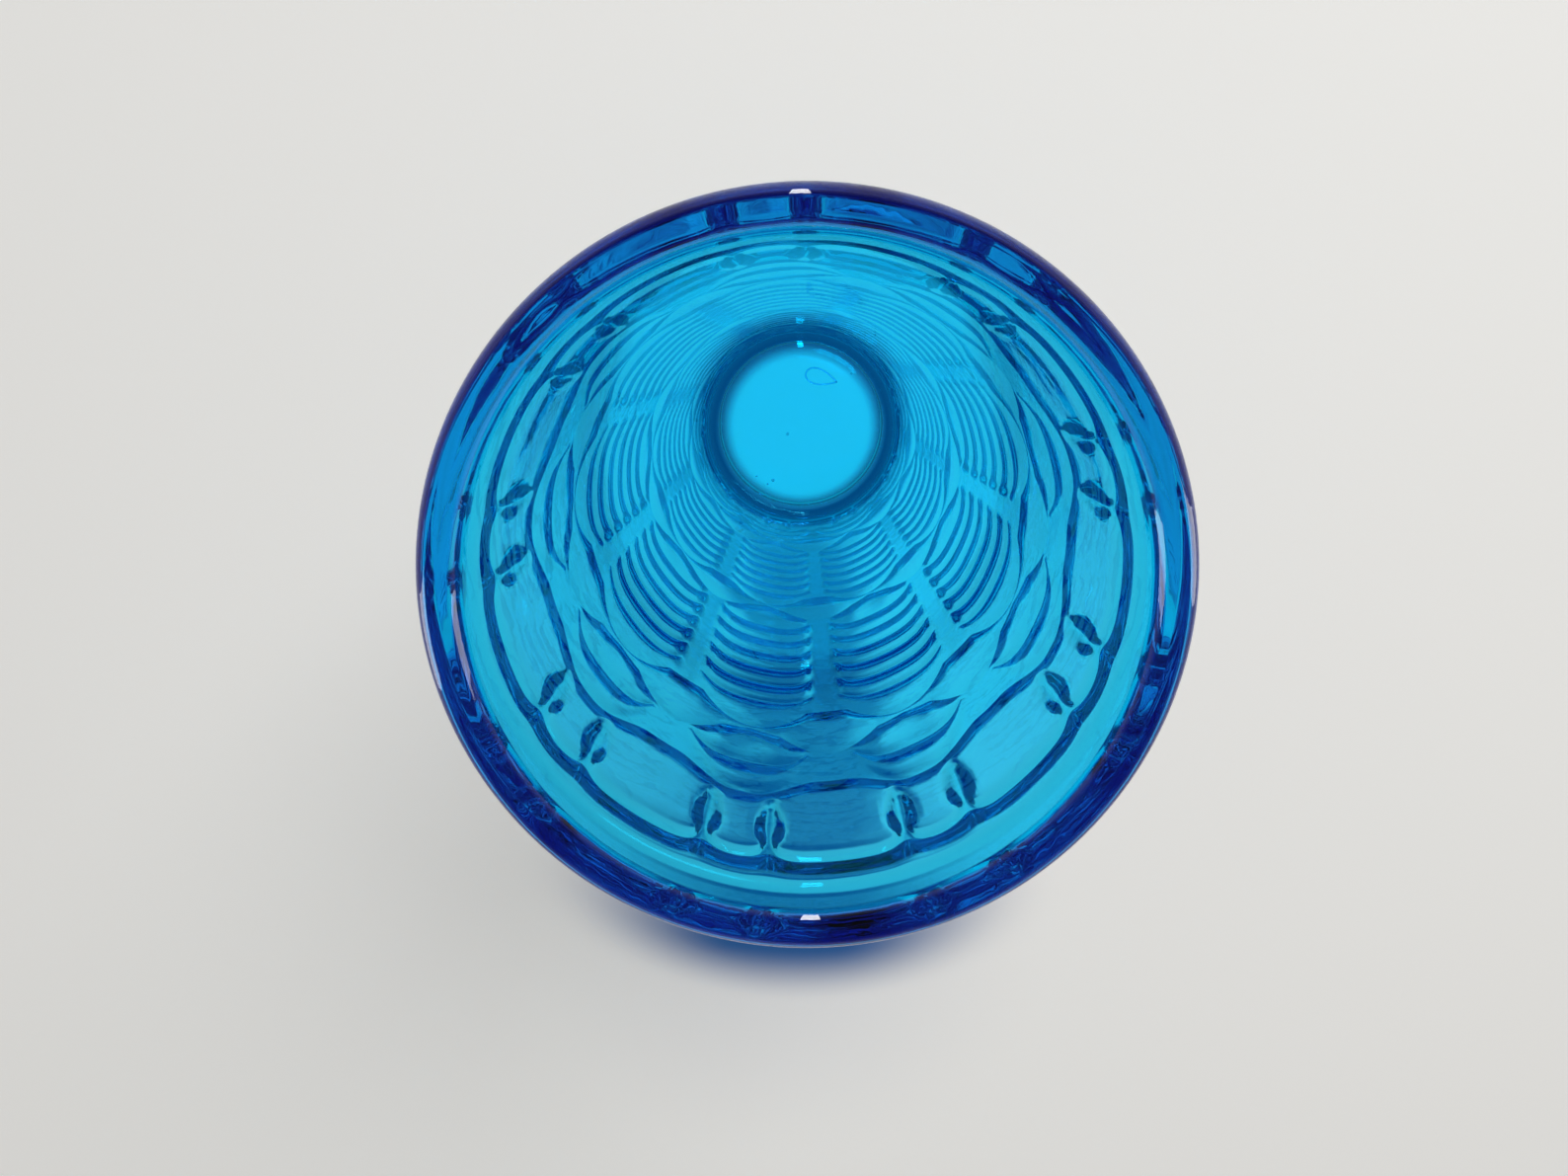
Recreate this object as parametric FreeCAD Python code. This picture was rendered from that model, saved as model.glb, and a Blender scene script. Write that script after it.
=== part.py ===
import FreeCAD, Part
import math
import os

# A tall, tapered tumbler pressed in one piece of coloured glass. It stands on +Z, and the origin is the
# centre of the flat ring that it rests on. Every height called "depth" is measured down from the lip.
# The outside carries nine identical repeats of a pressed pattern: an arcade of small pillars under a plain
# lip band, scalloped swags, two tall ribbed panels with rows of lens-shaped pads between them, and a low
# ribbed panel with a second row of pillars above the foot.

# Overall sizes, in millimetres
HEIGHT = 205.0
LIP_RADIUS = 40.0
CAVITY_DEPTH = 195.0
MOUTH_RADIUS = 35.2
CAVITY_FLOOR_RADIUS = 24.5
CAVITY_FLOOR_FILLET = 3.0
FOOT_RADIUS = 29.8
FOOT_EDGE = 1.2
REST_RING_INNER = 23.0
UNDERSIDE_RECESS = 1.6
UNDERSIDE_SLOPE = 1.5
FOOT_SHOULDER = 2.5

# Lip: a round outer shoulder and a small inner edge
LIP_SHOULDER_DROP = 4.0
LIP_INNER_EDGE = 0.9
LIP_CROWN_RADIUS = 36.9

# Plain band under the lip, a short step down, then the ground that the pattern stands on
BAND_BOTTOM_DEPTH = 11.5
BAND_BOTTOM_RADIUS = 39.5
GROUND_TOP_DEPTH = 12.6
GROUND_BOTTOM_DEPTH = 195.0
GROUND_TOP_RADIUS = 38.5
GROUND_BOTTOM_RADIUS = 28.7

# Pattern
REPEATS = 9
REPEAT_ANGLE = 360.0 / REPEATS
RIB_RISE = 1.0
PAD_RISE = 0.8
SWAG_RISE = 0.7
PILLAR_RISE = 1.0
ROOT = 0.6
PILLAR_OFFSET_ANGLE = 6.5
SILL_SHARE = 0.4
NECK_SHARE = 0.22
BELLY_SHARE = 0.62

# The raised outlines are cut by prisms that run outwards between these distances from the axis
PRISM_START = 20.0
PRISM_END = 45.0

# Ribbed panels: depth of the first rib edge, rib pitch, number of ribs, half angle, arch of the top edge
RIBBED_PANELS = (
    (54.0, 7.6, 6, 17.0, 8.0),
    (114.0, 6.9, 6, 16.5, 7.0),
    (171.5, 6.5, 2, 14.0, 4.0),
)

# Lens pads: depth of the middle, height, half angle, and whether it is on a panel's middle or on a seam
LENS_PADS = (
    (45.5, 8.4, 12.0, "panel"),
    (51.8, 11.0, 12.0, "seam"),
    (105.8, 10.4, 11.5, "panel"),
    (113.8, 9.2, 11.5, "seam"),
    (160.8, 8.6, 11.5, "panel"),
    (167.0, 7.4, 11.5, "seam"),
)

# Swags: depth at a panel's middle and at its ends, thickness, half angle
SWAGS = (
    (30.6, 34.6, 1.8, 17.5),
    (37.4, 41.6, 2.6, 12.0),
)

# Pillars: depth of top and bottom, width at the capital, the neck and the belly
PILLARS = (
    (14.6, 28.6, 3.2, 1.1, 3.4),
    (185.6, 193.4, 2.2, 1.0, 2.6),
)


def height_at(depth):
    """The height above the table of a depth below the lip."""
    return HEIGHT - depth


def ground_radius(depth):
    """The radius of the pattern's ground at a depth."""
    share = (depth - GROUND_TOP_DEPTH) / (GROUND_BOTTOM_DEPTH - GROUND_TOP_DEPTH)
    return GROUND_TOP_RADIUS + share * (GROUND_BOTTOM_RADIUS - GROUND_TOP_RADIUS)


def section_point(radius, depth):
    """A point of a section in the XZ plane."""
    return FreeCAD.Vector(radius, 0, height_at(depth))


def line(start, end):
    return Part.LineSegment(start, end).toShape()


def arc(start, middle, end):
    return Part.Arc(start, middle, end).toShape()


def turned(edges):
    """A solid of revolution about Z from a closed loop of section edges."""
    face = Part.Face(Part.Wire(edges))
    return face.revolve(FreeCAD.Vector(0, 0, 0), FreeCAD.Vector(0, 0, 1), 360)


def blank():
    """The pressing without its pattern: lip, band, tapered wall, foot and cavity in one section."""
    crown = section_point(LIP_CROWN_RADIUS, 0)
    shoulder = section_point(LIP_RADIUS, LIP_SHOULDER_DROP)
    reach = LIP_RADIUS - LIP_CROWN_RADIUS
    bend = math.sqrt(0.5)
    shoulder_middle = section_point(
        LIP_CROWN_RADIUS + reach * bend,
        LIP_SHOULDER_DROP * (1 - bend),
    )
    band_end = section_point(BAND_BOTTOM_RADIUS, BAND_BOTTOM_DEPTH)
    ground_start = section_point(GROUND_TOP_RADIUS, GROUND_TOP_DEPTH)
    ground_end = section_point(GROUND_BOTTOM_RADIUS, GROUND_BOTTOM_DEPTH)
    foot_top = section_point(FOOT_RADIUS, GROUND_BOTTOM_DEPTH + FOOT_SHOULDER)
    foot_low = section_point(FOOT_RADIUS, HEIGHT - FOOT_EDGE)
    foot_bend = section_point(FOOT_RADIUS - FOOT_EDGE * (1 - bend), HEIGHT - FOOT_EDGE * (1 - bend))
    rest_outer = section_point(FOOT_RADIUS - FOOT_EDGE, HEIGHT)
    rest_inner = section_point(REST_RING_INNER, HEIGHT)
    recess_edge = section_point(REST_RING_INNER - UNDERSIDE_SLOPE, HEIGHT - UNDERSIDE_RECESS)
    recess_middle = section_point(0, HEIGHT - UNDERSIDE_RECESS)
    floor_middle = section_point(0, CAVITY_DEPTH)
    floor_edge = section_point(CAVITY_FLOOR_RADIUS - CAVITY_FLOOR_FILLET, CAVITY_DEPTH)
    wall_foot_depth = CAVITY_DEPTH - CAVITY_FLOOR_FILLET
    floor_bend = section_point(
        CAVITY_FLOOR_RADIUS - CAVITY_FLOOR_FILLET * (1 - bend),
        CAVITY_DEPTH - CAVITY_FLOOR_FILLET * (1 - bend),
    )
    wall_foot = section_point(CAVITY_FLOOR_RADIUS, wall_foot_depth)
    wall_top = section_point(MOUTH_RADIUS, LIP_INNER_EDGE)
    lip_bend = section_point(
        MOUTH_RADIUS + LIP_INNER_EDGE * (1 - bend),
        LIP_INNER_EDGE * (1 - bend),
    )
    lip_inner = section_point(MOUTH_RADIUS + LIP_INNER_EDGE, 0)
    return turned([
        arc(crown, shoulder_middle, shoulder),
        line(shoulder, band_end),
        line(band_end, ground_start),
        line(ground_start, ground_end),
        line(ground_end, foot_top),
        line(foot_top, foot_low),
        arc(foot_low, foot_bend, rest_outer),
        line(rest_outer, rest_inner),
        line(rest_inner, recess_edge),
        line(recess_edge, recess_middle),
        line(recess_middle, floor_middle),
        line(floor_middle, floor_edge),
        arc(floor_edge, floor_bend, wall_foot),
        line(wall_foot, wall_top),
        arc(wall_top, lip_bend, lip_inner),
        line(lip_inner, crown),
    ])


def plain_sleeve(top, bottom, rise):
    """A thin tapered sleeve on the ground, from just inside it to a rise above it."""
    inner_top = section_point(ground_radius(top) - ROOT, top)
    outer_top = section_point(ground_radius(top) + rise, top)
    outer_bottom = section_point(ground_radius(bottom) + rise, bottom)
    inner_bottom = section_point(ground_radius(bottom) - ROOT, bottom)
    return turned([
        line(inner_top, outer_top),
        line(outer_top, outer_bottom),
        line(outer_bottom, inner_bottom),
        line(inner_bottom, inner_top),
    ])


def ribbed_sleeve(top, pitch, count):
    """A sleeve whose outside is a stack of round ribs, one below the other."""
    bottom = top + pitch * count
    inner_top = section_point(ground_radius(top) - ROOT, top)
    inner_bottom = section_point(ground_radius(bottom) - ROOT, bottom)
    edges = [line(inner_top, section_point(ground_radius(top), top))]
    for number in range(count):
        start = top + pitch * number
        middle = start + pitch / 2
        end = start + pitch
        edges.append(arc(
            section_point(ground_radius(start), start),
            section_point(ground_radius(middle) + RIB_RISE, middle),
            section_point(ground_radius(end), end),
        ))
    edges.append(line(section_point(ground_radius(bottom), bottom), inner_bottom))
    edges.append(line(inner_bottom, inner_top))
    return turned(edges)


def outward_prism(outline):
    """Carries an outline, drawn at Y = 0 as (sideways, depth) edges, outwards through the wall on -Y."""
    face = Part.Face(Part.Wire(outline))
    prism = face.extrude(FreeCAD.Vector(0, PRISM_START - PRISM_END, 0))
    prism.translate(FreeCAD.Vector(0, -PRISM_START, 0))
    return prism


def wall_point(sideways, depth):
    return FreeCAD.Vector(sideways, 0, height_at(depth))


def arched_window(top, bottom, half_width, arch):
    """A panel's outline: straight sides, an arched head and an arched sill."""
    sill = arch * SILL_SHARE
    return outward_prism([
        arc(wall_point(-half_width, top + arch), wall_point(0, top), wall_point(half_width, top + arch)),
        line(wall_point(half_width, top + arch), wall_point(half_width, bottom)),
        arc(wall_point(half_width, bottom), wall_point(0, bottom - sill), wall_point(-half_width, bottom)),
        line(wall_point(-half_width, bottom), wall_point(-half_width, top + arch)),
    ])


def lens_prism(depth, height, half_width):
    """A pointed oval of two arcs."""
    return outward_prism([
        arc(wall_point(-half_width, depth), wall_point(0, depth - height / 2), wall_point(half_width, depth)),
        arc(wall_point(half_width, depth), wall_point(0, depth + height / 2), wall_point(-half_width, depth)),
    ])


def swag_prism(middle_depth, end_depth, thickness, half_width):
    """A curved bar of even thickness, highest at the panel's middle."""
    end_bottom = end_depth + thickness
    middle_bottom = middle_depth + thickness
    left = wall_point(-half_width, end_depth)
    right = wall_point(half_width, end_depth)
    left_bottom = wall_point(-half_width, end_bottom)
    right_bottom = wall_point(half_width, end_bottom)
    return outward_prism([
        arc(left, wall_point(0, middle_depth), right),
        line(right, right_bottom),
        arc(right_bottom, wall_point(0, middle_bottom), left_bottom),
        line(left_bottom, left),
    ])


def pillar_prism(top, bottom, capital, neck, belly):
    """A small baluster: a wedge capital, a narrow neck and an oval belly on a point."""
    neck_depth = top + NECK_SHARE * (bottom - top)
    belly_depth = top + BELLY_SHARE * (bottom - top)
    capital_left = wall_point(-capital / 2, top)
    capital_right = wall_point(capital / 2, top)
    neck_left = wall_point(-neck / 2, neck_depth)
    neck_right = wall_point(neck / 2, neck_depth)
    point_left = wall_point(-neck / 2, bottom)
    point_right = wall_point(neck / 2, bottom)
    return outward_prism([
        line(capital_left, capital_right),
        line(capital_right, neck_right),
        arc(neck_right, wall_point(belly / 2, belly_depth), point_right),
        line(point_right, point_left),
        arc(point_left, wall_point(-belly / 2, belly_depth), neck_left),
        line(neck_left, capital_left),
    ])


def sideways_reach(depth, half_angle):
    """The sideways distance that a half angle covers at a depth."""
    return ground_radius(depth) * math.sin(math.radians(half_angle))


def turned_copy(shape, angle):
    copy = shape.copy()
    copy.rotate(FreeCAD.Vector(0, 0, 0), FreeCAD.Vector(0, 0, 1), angle)
    return copy


def one_repeat():
    """The raised pieces of one repeat, about a panel's middle half a repeat away from the seam on -Y."""
    pieces = []
    panel_angle = REPEAT_ANGLE / 2
    for top, pitch, count, half_angle, arch in RIBBED_PANELS:
        half_width = sideways_reach(top, half_angle)
        window = arched_window(top, top + pitch * count, half_width, arch)
        pieces.append(turned_copy(ribbed_sleeve(top, pitch, count).common(window), panel_angle))
    for depth, height, half_angle, place in LENS_PADS:
        half_width = sideways_reach(depth, half_angle)
        sleeve = plain_sleeve(depth - height, depth + height, PAD_RISE)
        pad = sleeve.common(lens_prism(depth, height, half_width))
        pieces.append(turned_copy(pad, panel_angle if place == "panel" else 0))
    for middle_depth, end_depth, thickness, half_angle in SWAGS:
        half_width = sideways_reach(middle_depth, half_angle)
        sleeve = plain_sleeve(middle_depth - thickness, end_depth + 2 * thickness, SWAG_RISE)
        bar = sleeve.common(swag_prism(middle_depth, end_depth, thickness, half_width))
        pieces.append(turned_copy(bar, panel_angle))
    for top, bottom, capital, neck, belly in PILLARS:
        sleeve = plain_sleeve(top - 1, bottom + 1, PILLAR_RISE)
        pillar = sleeve.common(pillar_prism(top, bottom, capital, neck, belly))
        pieces.append(turned_copy(pillar, panel_angle - PILLAR_OFFSET_ANGLE))
        pieces.append(turned_copy(pillar, panel_angle + PILLAR_OFFSET_ANGLE))
    return pieces


def tumbler():
    """The whole pressing: the blank with nine repeats of the pattern raised on it."""
    repeat = one_repeat()
    raised = [turned_copy(piece, REPEAT_ANGLE * number) for number in range(REPEATS) for piece in repeat]
    return blank().fuse(raised)


os.makedirs("parts", exist_ok=True)
glass = tumbler()
solid = glass.Solids[0]
solid.exportStep("parts/tumbler.step")
box = solid.BoundBox
print("solids", len(glass.Solids), "valid", solid.isValid(), "faces", len(solid.Faces))
print("box", box.XMin, box.YMin, box.ZMin, box.XMax, box.YMax, box.ZMax)
print("volume ml", solid.Volume / 1000)
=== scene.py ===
"""A tall tumbler of blue pressed glass on a pale studio floor, with painted shade and painted light round its foot."""

import math

import bpy
import numpy as np
from bpy.props import FloatProperty, PointerProperty, StringProperty
from mathutils import Matrix, Vector


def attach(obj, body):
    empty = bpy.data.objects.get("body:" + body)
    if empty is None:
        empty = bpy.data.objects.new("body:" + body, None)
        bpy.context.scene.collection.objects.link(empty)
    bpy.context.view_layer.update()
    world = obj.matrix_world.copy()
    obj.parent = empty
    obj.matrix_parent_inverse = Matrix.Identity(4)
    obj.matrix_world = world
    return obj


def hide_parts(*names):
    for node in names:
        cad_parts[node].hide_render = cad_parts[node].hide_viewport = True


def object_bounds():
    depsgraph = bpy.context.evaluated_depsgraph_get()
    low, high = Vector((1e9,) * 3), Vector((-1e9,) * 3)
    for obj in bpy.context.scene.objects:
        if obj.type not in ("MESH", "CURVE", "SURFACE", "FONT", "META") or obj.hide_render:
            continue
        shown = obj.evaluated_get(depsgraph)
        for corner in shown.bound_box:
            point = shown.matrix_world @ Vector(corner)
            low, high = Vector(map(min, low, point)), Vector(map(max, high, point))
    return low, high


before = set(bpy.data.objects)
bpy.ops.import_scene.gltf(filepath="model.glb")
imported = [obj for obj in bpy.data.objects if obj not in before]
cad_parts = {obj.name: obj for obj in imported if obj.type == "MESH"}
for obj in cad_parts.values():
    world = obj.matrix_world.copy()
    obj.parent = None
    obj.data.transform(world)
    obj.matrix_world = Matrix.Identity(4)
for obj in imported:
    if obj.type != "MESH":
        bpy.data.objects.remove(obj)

bl_info = {
    "name": "Pressed glass tumbler",
    "version": (1, 0, 0),
    "blender": (4, 5, 0),
    "location": "3D View > Sidebar > Tumbler",
    "description": "Presses a nine-panelled blue glass tumbler and sets it on a pale stage",
    "category": "Add Mesh",
}

MM = 0.001
CAD_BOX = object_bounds()
CAD_LOW, CAD_HIGH = CAD_BOX
HEIGHT = (CAD_HIGH[2] - CAD_LOW[2]) / MM
LIP_RADIUS = (CAD_HIGH[0] - CAD_LOW[0]) / 2 / MM

# The wall's section, in millimetres. A depth is measured down from the lip.
CAVITY_DEPTH = 195.0
MOUTH_RADIUS = 35.2
CAVITY_FLOOR_RADIUS = 24.5
FLOOR_FILLET = 3.0
LIP_CROWN_RADIUS = 38.2
LIP_SHOULDER_DROP = 2.6
LIP_INNER_EDGE = 2.0
BAND_BOTTOM = 9.9
BAND_RADIUS = 39.6
PATTERN_BOTTOM = 194.0
CREST_BOTTOM_RADIUS = 29.95
FOOT_RADIUS = 29.8
FOOT_EDGE = 1.2
REST_RING_INNER = 23.0
UNDERSIDE_SLOPE = 1.5
UNDERSIDE_RECESS = 1.6

# The moulded pattern repeats nine times, and a repeat is mirrored about its panel's middle
REPEATS = 9
REPEAT_ANGLE = 360.0 / REPEATS
HALF_REPEAT = REPEAT_ANGLE / 2

# Crest lines of the pattern, as depths
GROOVE_BOTTOM = 15.4
SWAG_MIDDLE, SWAG_SEAM = 32.0, 37.0
CRESCENT_LOW = 41.5
RIB_END_BEND = 3.5

# Blocks of ribs in a panel: depth of the arched head and how far its ends hang, first rib, pitch, ribs
RIB_BLOCKS = (
    {"head": 54.2, "head_drop": 8.0, "first": 65.2, "pitch": 7.6, "ribs": 5},
    {"head": 117.4, "head_drop": 7.0, "first": 126.2, "pitch": 6.6, "ribs": 5},
    {"head": 172.9, "head_drop": 4.0, "first": 179.4, "pitch": 5.8, "ribs": 1},
)

# Lenses over the seams: depth of the top, of the two points and of the notch's foot
SEAM_LENSES = (
    {"top": 45.8, "point": 52.2, "foot": 61.8},
    {"top": 108.9, "point": 114.0, "foot": 124.4},
    {"top": 163.0, "point": 167.5, "foot": 176.5},
)
SEAM_LENS_REACH = 12.5

# A cut whose end lies past the seam runs on into the next panel
RUNS_ON = (30.0, 31.0)

# One cell for each gap between crest lines: mesh rows, share of the way down to the lowest line (in the middle, and
# beside it where that differs), the two angles between which the cut runs out, and how often the cell repeats
CELLS = (
    {"rows": 8, "lowest": 0.20, "ends": RUNS_ON},
    {"rows": 15, "lowest": 0.80, "ends": RUNS_ON},
    {"rows": 10, "lowest": 0.48, "ends": (13.5, 15.5)},
    {"rows": 9, "lowest": 0.76, "beside": 0.50, "ends": (13.5, 15.5)},
    {"rows": 12, "lowest": 0.72, "ends": RUNS_ON},
    {"rows": 9, "lowest": 0.66, "ends": (13.5, 17.5)},
    {"rows": 8, "lowest": 0.36, "ends": (13.5, 17.5), "repeat": 5},
    {"rows": 8, "lowest": 0.72, "beside": 0.46, "ends": (13.5, 15.5)},
    {"rows": 10, "lowest": 0.62, "ends": RUNS_ON},
    {"rows": 7, "lowest": 0.50, "ends": (13.5, 17.5)},
    {"rows": 7, "lowest": 0.36, "ends": (13.5, 17.5), "repeat": 5},
    {"rows": 7, "lowest": 0.62, "beside": 0.44, "ends": (13.5, 15.5)},
    {"rows": 8, "lowest": 0.56, "ends": RUNS_ON},
    {"rows": 5, "lowest": 0.45, "ends": (13.0, 17.0)},
    {"rows": 5, "lowest": 0.50, "ends": (13.0, 17.0)},
    {"rows": 8, "lowest": 0.50, "ends": (0.0, 0.1)},
)
WINDOW_CELL, CRESCENT_CELL = 1, 2
WINDOW_CUT = 0.9
CRESCENT_HORN = 9.5

# Balusters: angle from the panel's middle, and the depths of the arcade's row and of the foot's row
BALUSTER_ANGLE = 6.5
ARCADE_ROW = (16.4, 29.8)
FOOT_ROW = (187.0, PATTERN_BOTTOM)
FOOT_CUT, FOOT_CUT_START = 0.35, (186.0, 188.0)

# The arcade's groove dips at each baluster, by this much over this angle
GROOVE_DIP, GROOVE_DIP_ANGLE = 1.4, 3.0

GLASS_IOR = 1.51

# The shear mark's teardrop on the cavity floor: its middle, length, width and turn in degrees
SHEAR_MARK = {"middle": (6.7, 11.9), "length": 8.3, "width": 5.2, "turn": -22.5}

# Gas seeds in the base: x, y, depth under the cavity floor, radius
GAS_SEEDS = (
    (-20.6, 2.9, 2.0, 0.32), (-3.7, -1.7, 1.5, 0.38), (-9.0, -13.5, 2.5, 0.42), (-10.5, -14.4, 3.0, 0.28),
    (-13.2, -11.9, 2.0, 0.25), (14.6, 11.9, 2.5, 0.26),
)

# Mesh columns in half a repeat: from, to, count. They are closest at the balusters.
COLUMN_ZONES = ((0.0, 3.0, 2), (3.0, 10.0, 11), (10.0, 20.0, 9))


# ---------------------------------------------------------------- helpers

def linear(hex_colour):
    """An sRGB hex colour as linear red, green and blue."""
    channels = [int(hex_colour[i:i + 2], 16) / 255 for i in (1, 3, 5)]
    return tuple(c / 12.92 if c <= 0.04045 else ((c + 0.055) / 1.055) ** 2.4 for c in channels)


def add_node(tree, kind, settings=None, links=None):
    """Adds a node, sets its properties and inputs, and links its inputs from other nodes' outputs."""
    node = tree.nodes.new(kind)
    for name, value in (settings or {}).items():
        if name in node.inputs:
            node.inputs[name].default_value = value
        else:
            setattr(node, name, value)
    for name, source in (links or {}).items():
        tree.links.new(source, node.inputs[name])
    return node


def ease(x, low, high):
    """Smoothstep: 0 below low, 1 above high, and a cubic blend without a kink in between."""
    t = np.clip((x - low) / (high - low), 0, 1)
    return t * t * (3 - 2 * t)


def quarter(start, end, count, outward):
    """A quarter ellipse between two (radius, depth) points; outward says which end it leaves level."""
    t = np.linspace(0, math.pi / 2, count)
    sine, cosine = np.sin(t), 1 - np.cos(t)
    along, across = (sine, cosine) if outward else (cosine, sine)
    return np.stack([
        start[0] + (end[0] - start[0]) * along,
        start[1] + (end[1] - start[1]) * across,
    ], axis=1)


def straight(start, end, count):
    """Evenly spaced (radius, depth) points from start to end."""
    t = np.linspace(0, 1, count)[:, None]
    return np.array(start) * (1 - t) + np.array(end) * t


# ---------------------------------------------------------------- the pressed relief

def crest_lines(across):
    """The crest lines from the band to the foot, as depths; each row of the result is one line over the columns.

    across is the angle from the panel's middle, in degrees. A rib's line is its depth plus a bend that grows with
    the fourth power of across. A seam lens spreads between two lines that meet in points on both sides of a seam.
    """
    level = np.ones_like(across)
    bend = RIB_END_BEND * (across / 16) ** 4 * (1 - ease(across, 16.0, 19.5))
    reach = np.clip((HALF_REPEAT - across) / SEAM_LENS_REACH, 0, 1)
    beside = np.clip(1 - across / (HALF_REPEAT - SEAM_LENS_REACH), 0, 1)
    lines = [
        BAND_BOTTOM * level,
        GROOVE_BOTTOM + GROOVE_DIP * np.exp(-((across - BALUSTER_ANGLE) / GROOVE_DIP_ANGLE) ** 2),
        SWAG_MIDDLE + (SWAG_SEAM - SWAG_MIDDLE) * ease(across, 2.0, 17.0),
        CRESCENT_LOW + 3.0 * (across / 13) ** 4 * (1 - ease(across, 14.0, 18.0)),
    ]
    for block, lens in zip(RIB_BLOCKS, SEAM_LENSES):
        head = block["head"] + block["head_drop"] * (np.minimum(across, 14.5) / 15) ** 2
        upper = lens["top"] + (lens["point"] - lens["top"]) * reach ** 1.7
        lower = lens["foot"] + (lens["point"] - lens["foot"]) * reach ** 2.6
        lines.append(upper + (block["head"] - 0.8 - lens["point"]) * beside)
        lines.append(np.maximum(head, lower))
        lines += [block["first"] + block["pitch"] * number + bend for number in range(block["ribs"] + 1)]
    return np.stack(lines + [PATTERN_BOTTOM * level])


def scoop(share, height, lowest, slope):
    """A concave cut between two crests: two curves that meet, level, at the lowest share of the way down.

    The upper one is a parabola. The lower one, of the power 1.6, returns to the crest at the given slope, so a low
    cell is also shallow.
    """
    upper = 1 - ((lowest - share) / lowest) ** 2
    lower = 1 - (np.clip(share - lowest, 0, 1) / (1 - lowest)) ** 1.6
    profile = np.where(share < lowest, upper, lower)
    return slope / 1.6 * (1 - lowest) * height * np.where((share > 0) & (share < 1), profile, 0)


def window(share):
    """The pan of an arcade window: a short fall from the groove, a level ground and a short rise to the swag."""
    fall = 1 - np.clip(1 - share / 0.14, 0, 1) ** 2
    rise = 1 - np.clip((share - 0.80) / 0.20, 0, 1) ** 2
    return WINDOW_CUT * fall * rise


def crescent(share, across, swag, low, lowest, slope):
    """The crescent under a swag: its upper edge leaves the swag and meets the lower one in two horns."""
    edge = SWAG_MIDDLE + CRESCENT_HORN * (across / 13) ** 2.5
    start = np.clip((edge - swag) / (low - swag), 0, 0.999)
    return scoop((share - start) / (1 - start), np.maximum(low - edge, 0), lowest, slope)


def balusters(across, depth, top, bottom):
    """Turned balusters left standing on both sides of a panel's middle: a wedge capital over a long belly.

    Across a baluster the section is a tent with a narrow level ridge. Returns 0 on the ground and 1 on the ridge.
    """
    share = np.clip((depth - top) / (bottom - top), 0, 1)
    belly = np.clip((share - 0.2) / 0.8, 0, 1)
    capital = share < 0.2
    half_width = np.where(capital, 2.7 - 1.5 * share / 0.2, 1.2 + 2.4 * np.sin(belly ** 0.8 * math.pi) ** 0.7)
    ridge = np.where(capital, 0.6, 0.16)
    distance = np.abs(across - BALUSTER_ANGLE) / half_width
    stand = np.clip((1 - distance) / (1 - ridge), 0, 1)
    return np.where((share > 0) & (share < 1), stand, 0)


def relief(across, slope):
    """Depths of the wall's rows and how far each point lies inside the crest surface, in millimetres.

    Rows follow the crest lines, and crowd towards them by a cosine, so that each crest stays sharp.
    """
    lines = crest_lines(across)
    cells = [cell for cell in CELLS for _ in range(cell.get("repeat", 1))]
    depths, cuts = [], []
    for number, cell in enumerate(cells):
        top, bottom = lines[number], lines[number + 1]
        share = (1 - np.cos(np.arange(cell["rows"]) / cell["rows"] * math.pi))[:, None] / 2
        share = share * np.ones_like(across)
        depth = top + (bottom - top) * share
        lowest = cell["lowest"] + (cell.get("beside", cell["lowest"]) - cell["lowest"]) * ease(across, 0.0, 9.0)
        cut = scoop(share, bottom - top, lowest, slope)
        if number == WINDOW_CELL:
            cut = window(share) * (1 - balusters(across, depth, *ARCADE_ROW))
        if number == CRESCENT_CELL:
            cut = crescent(share, across, top, bottom, cell["lowest"], slope)
        depths.append(depth)
        cuts.append(cut * (1 - ease(across, *cell["ends"])))
    foot_stand = balusters(across, depths[-1], *FOOT_ROW)
    cuts[-1] = cuts[-1] + FOOT_CUT * ease(depths[-1], *FOOT_CUT_START) * (1 - foot_stand)
    return np.concatenate(depths), np.concatenate(cuts)


# ---------------------------------------------------------------- the section

def column_angles():
    """Angles from a panel's middle over one repeat, and angles round the whole glass, in degrees."""
    half = np.concatenate([np.linspace(low, high, count, endpoint=False) for low, high, count in COLUMN_ZONES])
    repeat = np.concatenate([[-HALF_REPEAT], -half[:0:-1], half])
    # a seam looks to -Y, and a panel's middle is half a repeat from it
    middles = -90.0 + HALF_REPEAT + REPEAT_ANGLE * np.arange(REPEATS)
    return np.tile(repeat, REPEATS), (middles[:, None] + repeat).ravel()


def turned(points, columns):
    """Radius and depth grids of a plain turned stretch of the section."""
    rows = np.array(points)
    return np.repeat(rows[:, :1], columns, axis=1), np.repeat(rows[:, 1:], columns, axis=1)


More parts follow.
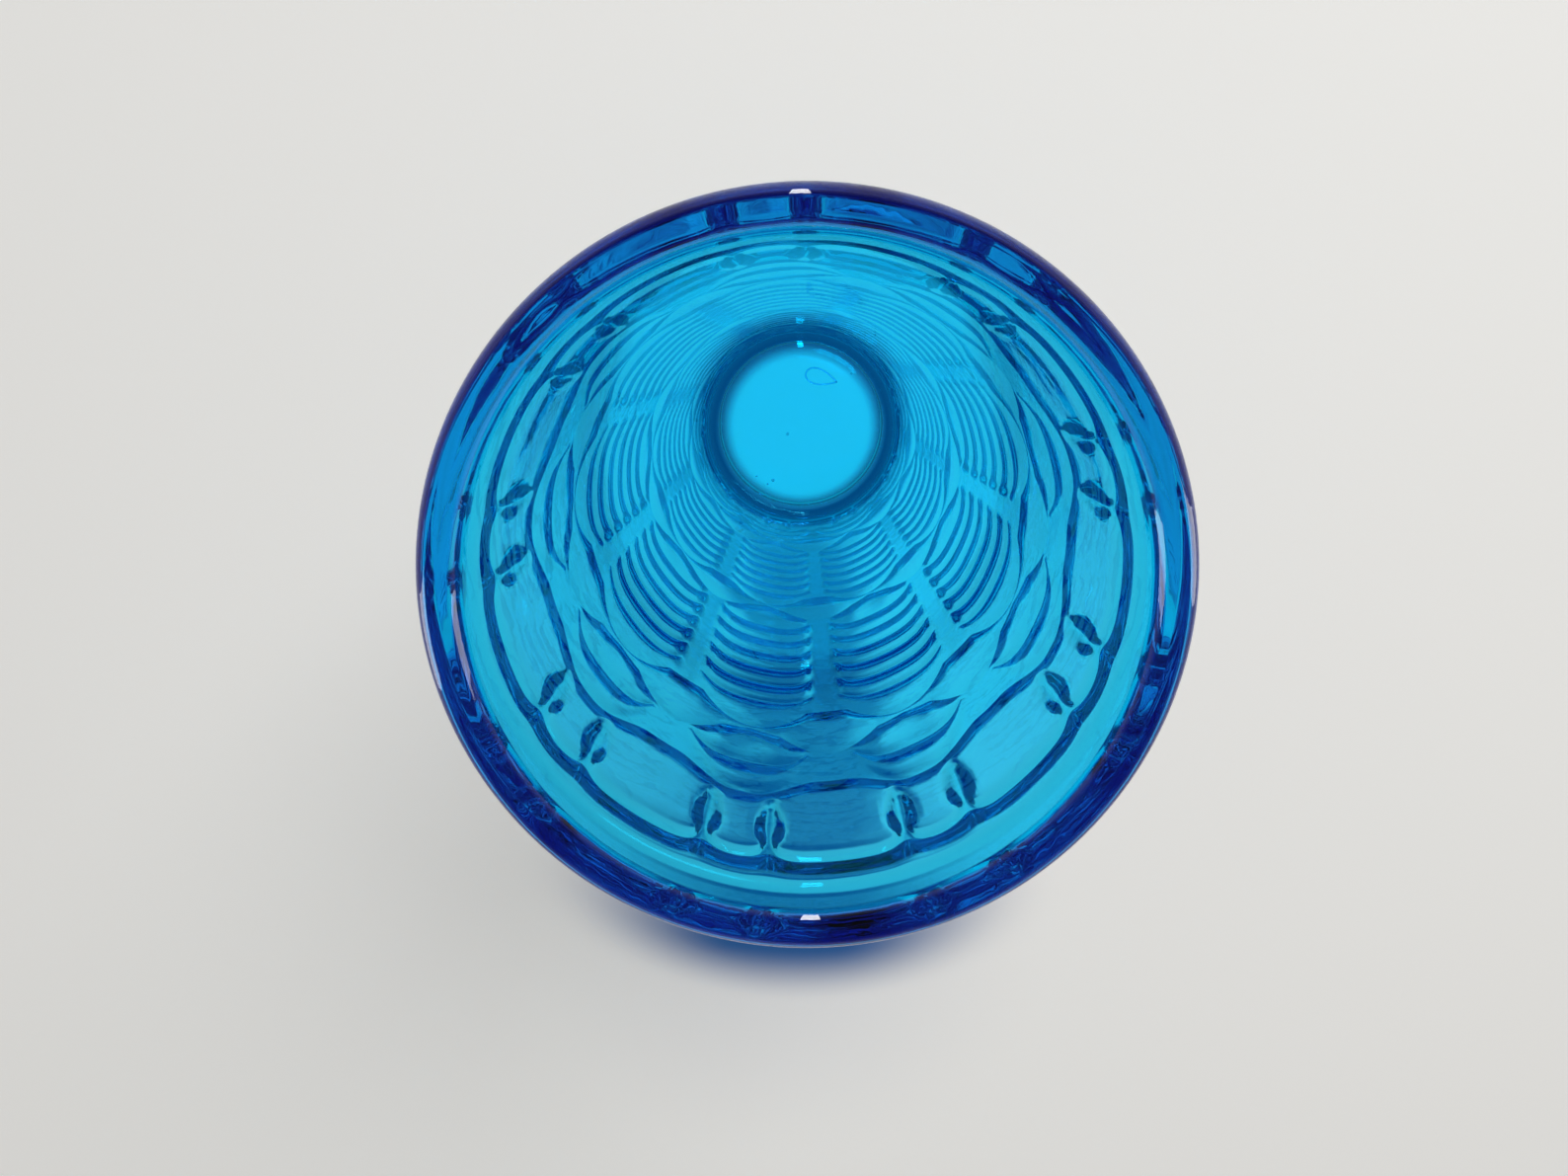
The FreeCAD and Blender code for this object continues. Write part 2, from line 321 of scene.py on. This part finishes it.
def section(across, slope):
    """The closed section from the middle of the underside, round the outside and the lip, to the cavity floor.

    Returns grids of radius and depth, one column for each angle.
    """
    columns = len(across)
    recess = HEIGHT - UNDERSIDE_RECESS
    wall_foot = CAVITY_DEPTH - FLOOR_FILLET
    depth, cut = relief(np.abs(across), slope)
    depth, cut = depth[::-1], cut[::-1]
    taper = (CREST_BOTTOM_RADIUS - BAND_RADIUS) / (PATTERN_BOTTOM - BAND_BOTTOM)
    wall = (BAND_RADIUS + taper * (depth - BAND_BOTTOM) - cut, depth)
    below = [
        straight((0.0, recess), (REST_RING_INNER - UNDERSIDE_SLOPE, recess), 5),
        quarter((REST_RING_INNER - UNDERSIDE_SLOPE, recess), (REST_RING_INNER, HEIGHT), 4, False)[1:],
        straight((REST_RING_INNER, HEIGHT), (FOOT_RADIUS - FOOT_EDGE, HEIGHT), 3)[1:],
        quarter((FOOT_RADIUS - FOOT_EDGE, HEIGHT), (FOOT_RADIUS, HEIGHT - FOOT_EDGE), 6, True)[1:],
        straight((FOOT_RADIUS, HEIGHT - FOOT_EDGE), (CREST_BOTTOM_RADIUS, PATTERN_BOTTOM), 5)[1:],
    ]
    above = [
        straight((BAND_RADIUS, BAND_BOTTOM), (LIP_RADIUS, LIP_SHOULDER_DROP), 4)[1:],
        quarter((LIP_RADIUS, LIP_SHOULDER_DROP), (LIP_CROWN_RADIUS, 0.0), 10, False)[1:],
        straight((LIP_CROWN_RADIUS, 0.0), (MOUTH_RADIUS + LIP_INNER_EDGE, 0.0), 2)[1:],
        quarter((MOUTH_RADIUS + LIP_INNER_EDGE, 0.0), (MOUTH_RADIUS, LIP_INNER_EDGE), 5, True)[1:],
        straight((MOUTH_RADIUS, LIP_INNER_EDGE), (CAVITY_FLOOR_RADIUS, wall_foot), 9)[1:],
        quarter((CAVITY_FLOOR_RADIUS, wall_foot), (CAVITY_FLOOR_RADIUS - FLOOR_FILLET, CAVITY_DEPTH), 7, False)[1:],
        straight((CAVITY_FLOOR_RADIUS - FLOOR_FILLET, CAVITY_DEPTH), (0.0, CAVITY_DEPTH), 6)[1:],
    ]
    grids = [turned(np.concatenate(below), columns), wall, turned(np.concatenate(above), columns)]
    return np.concatenate([grid[0] for grid in grids]), np.concatenate([grid[1] for grid in grids])


def smooth_mesh(name, vertices, faces):
    """A smooth-shaded mesh from lists of vertices, in metres, and faces."""
    mesh = bpy.data.meshes.new(name)
    mesh.from_pydata(vertices, [], faces)
    mesh.polygons.foreach_set("use_smooth", np.ones(len(mesh.polygons), bool))
    mesh.update()
    return mesh


def closed_shell(points):
    """Vertices, quads and end fans of a grid whose rows are closed rings; its first and last rows are poles.

    points has the shape (rows, columns, 3). Each pole becomes one vertex with a fan of triangles. Faces point outwards
    when the rows climb from the lower pole and the columns turn anticlockwise seen from above.
    """
    rows, columns = points.shape[:2]
    vertices = np.concatenate([points[:1, 0], points[1:-1].reshape(-1, 3), points[-1:, 0]])
    ring = np.arange(columns)
    following = np.roll(ring, -1)
    start = 1 + np.arange(rows - 3)[:, None] * columns
    quads = np.stack([
        start + ring, start + following, start + columns + following, start + columns + ring,
    ], axis=-1).reshape(-1, 4)
    top_ring = 1 + (rows - 3) * columns
    fans = np.concatenate([
        np.stack([np.zeros_like(ring), 1 + following, 1 + ring], axis=1),
        np.stack([top_ring + ring, top_ring + following, np.full_like(ring, len(vertices) - 1)], axis=1),
    ])
    return vertices, quads, fans


def thread_mesh(settings):
    """The shear mark: a round thread along a teardrop on the cavity floor, half sunk in the glass.

    The teardrop is x = cos t, y = sin t sin(t / 2), stretched to its length and width and turned about Z. The thread's
    ring at each point stands square to the curve.
    """
    along, around = 72, 10
    t = np.arange(along) / along * 2 * math.pi
    half_length, half_width = SHEAR_MARK["length"] / 2, SHEAR_MARK["width"] / 2
    curve = np.stack([half_length * np.cos(t), half_width * np.sin(t) * np.sin(t / 2)], axis=1)
    turn = math.radians(SHEAR_MARK["turn"])
    rotation = np.array([[math.cos(turn), -math.sin(turn)], [math.sin(turn), math.cos(turn)]])
    curve = curve @ rotation.T + SHEAR_MARK["middle"]
    tangent = np.roll(curve, -1, axis=0) - np.roll(curve, 1, axis=0)
    tangent /= np.linalg.norm(tangent, axis=1, keepdims=True)
    outward = np.stack([tangent[:, 1], -tangent[:, 0]], axis=1)
    angle = np.arange(around) / around * 2 * math.pi
    flat = curve[:, None, :] + outward[:, None, :] * np.cos(angle)[None, :, None] * settings.thread
    rise = HEIGHT - CAVITY_DEPTH + np.sin(angle) * settings.thread
    points = np.concatenate([flat, np.broadcast_to(rise[None, :, None], (along, around, 1))], axis=2) * MM
    points[..., 2] += CAD_LOW[2]
    row, column = np.arange(along)[:, None] * around, np.arange(around)
    next_row, next_column = np.roll(row, -1, axis=0), np.roll(column, -1)
    quads = np.stack([row + column, next_row + column, next_row + next_column, row + next_column], axis=-1)
    return smooth_mesh("shear_mark", points.reshape(-1, 3).tolist(), quads.reshape(-1, 4).tolist())


def seed_mesh():
    """Gas seeds: one small ball for each, a grid of rings between two poles, all in one mesh."""
    rings, columns = 9, 16
    latitude = np.linspace(-math.pi / 2, math.pi / 2, rings)[:, None]
    turn = np.arange(columns) / columns * 2 * math.pi
    ball, quads, fans = closed_shell(np.stack([
        np.cos(latitude) * np.cos(turn), np.cos(latitude) * np.sin(turn), np.sin(latitude) * np.ones_like(turn),
    ], axis=-1))
    vertices, faces = [], []
    for x, y, depth, radius in GAS_SEEDS:
        middle = np.array([x, y, HEIGHT - CAVITY_DEPTH - depth])
        first = len(vertices)
        vertices += ((middle + ball * radius) * MM + [0, 0, CAD_LOW[2]]).tolist()
        faces += (quads + first).tolist() + (fans + first).tolist()
    return smooth_mesh("gas_seeds", vertices, faces)


def tumbler_mesh(settings):
    """The whole glass as one closed surface: the section turned about Z, with the relief taken off its outside.

    A point is (r cos a, r sin a, height - depth), where r and depth come from the section at the angle a.
    """
    across, angle = column_angles()
    radius, depth = section(across, settings.return_slope)
    turn = np.radians(angle)
    points = np.stack([radius * np.cos(turn), radius * np.sin(turn), HEIGHT - depth], axis=-1) * MM
    points[..., 2] += CAD_LOW[2]
    vertices, quads, fans = closed_shell(points)
    return smooth_mesh("pressed_tumbler", vertices.tolist(), quads.tolist() + fans.tolist())


# ---------------------------------------------------------------- materials

def blue_pressed_glass(settings):
    """Soda-lime glass coloured turquoise with copper, pressed in an iron mould and fire-polished.

    The body colour comes from absorption along the path, so thin places are pale and long paths are deep blue.
    A tint where light crosses the surface keeps thin places turquoise while long paths stay blue, not black.
    The mould leaves a faint ripple a few millimetres wide.
    """
    material = bpy.data.materials.new("blue_pressed_glass")
    material.use_nodes = True
    tree = material.node_tree
    tree.nodes.clear()
    coordinates = add_node(tree, "ShaderNodeTexCoord")
    ripple = add_node(
        tree, "ShaderNodeTexNoise",
        {"Scale": 1 / (settings.ripple_size * MM), "Detail": 2.0, "Roughness": 0.45},
        {"Vector": coordinates.outputs["Object"]},
    )
    bump = add_node(
        tree, "ShaderNodeBump",
        {"Strength": 1.0, "Distance": settings.ripple_height * MM},
        {"Height": ripple.outputs["Fac"]},
    )
    surface = add_node(
        tree, "ShaderNodeBsdfPrincipled",
        {"Base Color": (*linear(settings.surface_tint), 1), "Roughness": 0.0, "IOR": GLASS_IOR,
         "Transmission Weight": 1.0},
        {"Normal": bump.outputs["Normal"]},
    )
    depths = np.array([settings.absorb_red, settings.absorb_green, settings.absorb_blue]) / MM
    strongest = depths.max()
    body = add_node(
        tree, "ShaderNodeVolumeAbsorption",
        {"Color": (*(1 - depths / strongest), 1), "Density": strongest},
    )
    add_node(
        tree, "ShaderNodeOutputMaterial", {},
        {"Surface": surface.outputs["BSDF"], "Volume": body.outputs["Volume"]},
    )
    return material


def seed_gas():
    """Gas left in the melt: clear, and thinner than the glass round it, so each seed shows a dark outline."""
    material = bpy.data.materials.new("seed_gas")
    material.use_nodes = True
    tree = material.node_tree
    tree.nodes.clear()
    surface = add_node(tree, "ShaderNodeBsdfGlass", {"Roughness": 0.0, "IOR": 1 / GLASS_IOR})
    add_node(tree, "ShaderNodeOutputMaterial", {}, {"Surface": surface.outputs["BSDF"]})
    return material


def pale_floor(settings):
    """Matt white acrylic that gives off a little light of its own, like a light table. A brighter pool of light round
    the glass, a glow right under the foot, which makes the glass glow from its foot, and a blue shadow round the foot
    that falls to -Y are painted into the floor's colour and light at fixed places; the glass casts none of them.
    """
    material = bpy.data.materials.new("pale_floor")
    material.use_nodes = True
    tree = material.node_tree
    tree.nodes.clear()
    colour = (*linear(settings.floor_colour), 1)
    coordinates = add_node(tree, "ShaderNodeTexCoord")

    def blend(centre, size, near, far, at_centre, outside):
        """A value that eases from at_centre to outside between two shares of an oval; lengths in metres."""
        oval = add_node(
            tree, "ShaderNodeMapping", {"vector_type": "TEXTURE", "Location": (*centre, 0), "Scale": (*size, 1)},
            {"Vector": coordinates.outputs["Object"]},
        )
        distance = add_node(tree, "ShaderNodeVectorMath", {"operation": "LENGTH"}, {"Vector": oval.outputs["Vector"]})
        spread = add_node(
            tree, "ShaderNodeMapRange",
            {"From Min": near, "From Max": far, "To Min": at_centre, "To Max": outside,
             "interpolation_type": "SMOOTHSTEP"},
            {"Value": distance.outputs["Value"]},
        )
        return spread.outputs["Result"]

    def combine(operation, first, second):
        """One value from two, clamped to the range 0 to 1."""
        node = add_node(
            tree, "ShaderNodeMath", {"operation": operation, "use_clamp": True}, {0: first, 1: second},
        )
        return node.outputs["Value"]

    # painted light and shade, not cast by the glass: a brighter pool round the glass, and a blue shadow that hugs the
    # foot and falls to -Y, deepest at its end
    pool = blend((-0.004, -0.048), (0.1, 0.1), 0.55, 1.1, settings.painted_pool_glow, settings.floor_glow)
    foot = blend((0, 0), (0.031, 0.031), 0.98, 1.6, 0.88, 0.0)
    tongue = blend((-0.009, -0.085), (0.034, 0.088), 0.45, 1.1, 0.75, 0.0)
    deep_end = blend((-0.022, -0.152), (0.078, 0.072), 0.2, 1.1, 1.0, 0.0)
    # reach keeps the painted shadow at full strength near the glass and fades it to a tenth farther out
    reach = blend((-0.006, -0.053), (0.111, 0.111), 0.93, 1.1, 1.0, 0.1)
    # painted glow in the floor right under the foot, which lights the glass from below; only the floor's own emission
    # gives it
    painted_foot_glow = blend((0, -0.001), (0.02, 0.02), 0.84, 1.22, 1.0, 0.0)
    shadow = combine("MAXIMUM", foot, combine("MAXIMUM", tongue, deep_end))
    shade = combine("MULTIPLY", shadow, reach)
    # the floor's own light: the painted pool, dimmed to the plain floor's glow in the painted shadow, then the painted
    # glow under the foot
    outer = add_node(
        tree, "ShaderNodeMix", {"data_type": "FLOAT", "B": settings.floor_glow}, {"Factor": shade, "A": pool},
    )
    strength = add_node(
        tree, "ShaderNodeMix", {"data_type": "FLOAT", "B": settings.painted_foot_glow_strength},
        {"Factor": painted_foot_glow, "A": outer.outputs["Result"]},
    )
    # painted shadow colour: the floor's colour and its own light turn blue in the painted shade, but not in the painted
    # glow under the foot
    tint = add_node(
        tree, "ShaderNodeMix", {"data_type": "RGBA"}, {"Factor": combine("SUBTRACT", shade, painted_foot_glow)},
    )
    tint.inputs["A"].default_value = colour
    tint.inputs["B"].default_value = (*linear(settings.shade_colour), 1)
    surface = add_node(
        tree, "ShaderNodeBsdfPrincipled",
        {"Roughness": 0.9, "Specular IOR Level": 0.0},
        {"Base Color": tint.outputs["Result"], "Emission Color": tint.outputs["Result"],
         "Emission Strength": strength.outputs["Result"]},
    )
    add_node(tree, "ShaderNodeOutputMaterial", {}, {"Surface": surface.outputs["BSDF"]})
    return material


# ---------------------------------------------------------------- settings

class TumblerSettings(bpy.types.PropertyGroup):
    """Sizes and finish of the glass."""

    return_slope: FloatProperty(
        name="Return slope", description="Slope of a scoop's lower flank where it reaches the crest", default=0.2,
        min=0.0,
    )
    ripple_size: FloatProperty(
        name="Ripple size", description="Width of the mould's ripple, in millimetres", default=5.0, min=0.1,
    )
    ripple_height: FloatProperty(
        name="Ripple height", description="Height of the mould's ripple, in millimetres", default=0.04, min=0.0,
    )
    thread: FloatProperty(
        name="Shear mark", description="Radius of the thread that the shears leave, in millimetres", default=0.2,
        min=0.01,
    )
    surface_tint: StringProperty(
        name="Surface tint", description="The sRGB hex colour that light takes on where it crosses the surface",
        default="#b8dcff",
    )
    absorb_red: FloatProperty(
        name="Red absorbed", description="Red light absorbed per millimetre of glass", default=0.46, min=0.0,
    )
    absorb_green: FloatProperty(
        name="Green absorbed", description="Green light absorbed per millimetre of glass", default=0.019, min=0.0,
    )
    absorb_blue: FloatProperty(
        name="Blue absorbed", description="Blue light absorbed per millimetre of glass", default=0.005, min=0.0,
    )


class StageSettings(bpy.types.PropertyGroup):
    """The floor, the lights and the camera."""

    floor_colour: StringProperty(
        name="Floor colour", description="The floor's sRGB hex colour", default="#e6e5e2",
    )
    floor_size: FloatProperty(
        name="Floor radius", description="The floor's radius", default=4.0, unit="LENGTH",
    )
    floor_glow: FloatProperty(
        name="Floor glow", description="The light that the floor gives off by itself", default=0.47, min=0.0,
    )
    # painted light: a brighter pool of the floor's own light round the glass
    painted_pool_glow: FloatProperty(
        name="Pool glow", description="The floor's own light in a wide pool round the glass", default=0.66, min=0.0,
    )
    # painted light: a glowing disc in the floor right under the foot, given by the floor itself
    painted_foot_glow_strength: FloatProperty(
        name="Lamp glow", description="The floor's own light right under the foot", default=1.04, min=0.0,
    )
    # colour of the painted blue shadow on the floor, in its colour and its own light; the glass doesn't cast it
    shade_colour: StringProperty(
        name="Shade colour", description="The sRGB hex colour of the floor's own light in the glass's blue shade",
        default="#2d578d",
    )
    sky: FloatProperty(
        name="Sky", description="Strength of the even light from all round", default=0.8, min=0.0,
    )
    overhead: FloatProperty(
        name="Overhead", description="Strength of the surround above the glass", default=0.1, min=0.0,
    )
    key: FloatProperty(
        name="Key light", description="Power of the large soft light", default=3.6, unit="POWER",
    )
    strip: FloatProperty(
        name="Strip light", description="Power of the narrow strip that glints on the lip", default=2.6,
        unit="POWER",
    )
    side_strips: FloatProperty(
        name="Side strips", description="Power of each tall strip that glints on the relief", default=3.5,
        unit="POWER",
    )
    lens: FloatProperty(
        name="Lens", description="The camera's focal length", default=27.045, unit="CAMERA",
    )


# ---------------------------------------------------------------- operators

class TUMBLER_OT_press(bpy.types.Operator):
    """Press the glass: one closed mesh with its relief, in blue glass"""

    bl_idname = "tumbler.press"
    bl_label = "Press the tumbler"

    def execute(self, context):
        settings = context.scene.tumbler
        glass = bpy.data.objects.new("pressed_tumbler", tumbler_mesh(settings))
        glass.data.materials.append(blue_pressed_glass(settings))
        context.scene.collection.objects.link(glass)
        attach(glass, "root")
        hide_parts("tumbler")
        return {"FINISHED"}


class TUMBLER_OT_traces(bpy.types.Operator):
    """Leave the traces of the making: the shear mark on the cavity floor and gas seeds in the base"""

    bl_idname = "tumbler.traces"
    bl_label = "Leave the making's traces"

    def execute(self, context):
        settings = context.scene.tumbler
        glass = bpy.data.materials.get("blue_pressed_glass") or blue_pressed_glass(settings)
        for mesh, material in ((thread_mesh(settings), glass), (seed_mesh(), seed_gas())):
            mesh.materials.append(material)
            trace = bpy.data.objects.new(mesh.name, mesh)
            context.scene.collection.objects.link(trace)
            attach(trace, "root")
        return {"FINISHED"}


class TUMBLER_OT_stage(bpy.types.Operator):
    """Lay the pale floor, light it and place the camera over the mouth"""

    bl_idname = "tumbler.stage"
    bl_label = "Set the stage"

    def execute(self, context):
        settings = context.scene.tumbler_stage
        self.lay_floor(context, settings)
        self.hang_lights(context, settings)
        self.place_camera(context, settings)
        context.scene.view_settings.view_transform = "Standard"
        # light runs down inside the wall by many total reflections
        context.scene.cycles.max_bounces = 48
        context.scene.cycles.transmission_bounces = 48
        context.scene.cycles.glossy_bounces = 16
        return {"FINISHED"}

    def lay_floor(self, context, settings):
        """A flat disc at the level of the rest ring."""
        sides = 64
        angle = np.arange(sides) / sides * 2 * math.pi
        rim = np.stack([np.cos(angle), np.sin(angle), np.zeros(sides)], axis=1) * settings.floor_size
        rim[:, 2] = CAD_LOW[2]
        mesh = bpy.data.meshes.new("floor")
        mesh.from_pydata(rim.tolist(), [], [list(range(sides))])
        mesh.materials.append(pale_floor(settings))
        floor = bpy.data.objects.new("floor", mesh)
        context.scene.collection.objects.link(floor)

    def hang_lights(self, context, settings):
        """A pale surround that darkens overhead, a soft light and a strip on +Y, and a tall strip on each side."""
        world = bpy.data.worlds.new("studio")
        world.use_nodes = True
        tree = world.node_tree
        tree.nodes.clear()
        direction = add_node(tree, "ShaderNodeTexCoord")
        height = add_node(tree, "ShaderNodeSeparateXYZ", {}, {"Vector": direction.outputs["Generated"]})
        strength = add_node(
            tree, "ShaderNodeMapRange",
            {"From Min": 0.15, "From Max": 0.75, "To Min": settings.sky, "To Max": settings.overhead,
             "interpolation_type": "SMOOTHSTEP"},
            {"Value": height.outputs["Z"]},
        )
        pale = add_node(
            tree, "ShaderNodeBackground",
            {"Color": (*linear(settings.floor_colour), 1)}, {"Strength": strength.outputs["Result"]},
        )
        add_node(tree, "ShaderNodeOutputWorld", {}, {"Surface": pale.outputs["Background"]})
        context.scene.world = world
        self.hang(context, "soft_key", settings.key, (0.35, 0.45, 0.8), (0.4, 0.4), True)
        self.hang(context, "lip_strip", settings.strip, (0.10, 1.02, 0.75), (0.07, 0.7), False)
        for name, side in (("left_strip", -1), ("right_strip", 1)):
            strip = self.hang(context, name, settings.side_strips, (side * 0.9, -0.2, 0.35), (0.25, 1.1), False)
            # only a reflection: it mustn't show through the glass
            strip.visible_transmission = False

    def hang(self, context, name, power, place, size, lights_floor):
        """A rectangular light that looks at the lip's middle; it either lights the floor or shows as a reflection."""
        light_data = bpy.data.lights.new(name, "AREA")
        light_data.shape = "RECTANGLE"
        light_data.energy = power
        light_data.size, light_data.size_y = size
        light = bpy.data.objects.new(name, light_data)
        target = Vector((0, 0, HEIGHT * MM))
        light.location = place
        light.rotation_euler = (target - light.location).to_track_quat("-Z", "Y").to_euler()
        light.visible_camera = False
        light.visible_diffuse = lights_floor
        light.visible_glossy = not lights_floor
        context.scene.collection.objects.link(light)
        return light

    def place_camera(self, context, settings):
        """Over the mouth, a little to the +Y side, looking down the inside."""
        lip = Vector((0, 0, HEIGHT * MM))
        place = lip + Vector((2.22, 26.95, 115.5)) * MM
        forward = Vector((-0.0365, -0.2187, -0.9751)).normalized()
        up = Vector((0.110, 0.969, -0.2214))
        right = forward.cross(up).normalized()
        up = right.cross(forward)
        camera_data = bpy.data.cameras.new("camera")
        camera_data.lens = settings.lens
        camera_data.clip_start = 0.01
        camera = bpy.data.objects.new("camera", camera_data)
        turn = Matrix((right, up, -forward)).transposed()
        camera.matrix_world = Matrix.Translation(place) @ turn.to_4x4()
        context.scene.collection.objects.link(camera)
        context.scene.camera = camera


class TUMBLER_PT_panel(bpy.types.Panel):
    """Buttons and settings for the tumbler"""

    bl_idname = "TUMBLER_PT_panel"
    bl_label = "Pressed glass tumbler"
    bl_space_type = "VIEW_3D"
    bl_region_type = "UI"
    bl_category = "Tumbler"

    def draw(self, context):
        layout = self.layout
        for group in (context.scene.tumbler, context.scene.tumbler_stage):
            for name in group.bl_rna.properties.keys():
                if name not in ("rna_type", "name"):
                    layout.prop(group, name)
        layout.operator(TUMBLER_OT_press.bl_idname)
        layout.operator(TUMBLER_OT_traces.bl_idname)
        layout.operator(TUMBLER_OT_stage.bl_idname)


CLASSES = (
    TumblerSettings, StageSettings, TUMBLER_OT_press, TUMBLER_OT_traces, TUMBLER_OT_stage, TUMBLER_PT_panel,
)


def register():
    for cls in CLASSES:
        bpy.utils.register_class(cls)
    bpy.types.Scene.tumbler = PointerProperty(type=TumblerSettings)
    bpy.types.Scene.tumbler_stage = PointerProperty(type=StageSettings)


def unregister():
    del bpy.types.Scene.tumbler_stage
    del bpy.types.Scene.tumbler
    for cls in reversed(CLASSES):
        bpy.utils.unregister_class(cls)


def main():
    register()
    bpy.ops.tumbler.press()
    bpy.ops.tumbler.traces()
    bpy.ops.tumbler.stage()


if __name__ == "__main__":
    main()
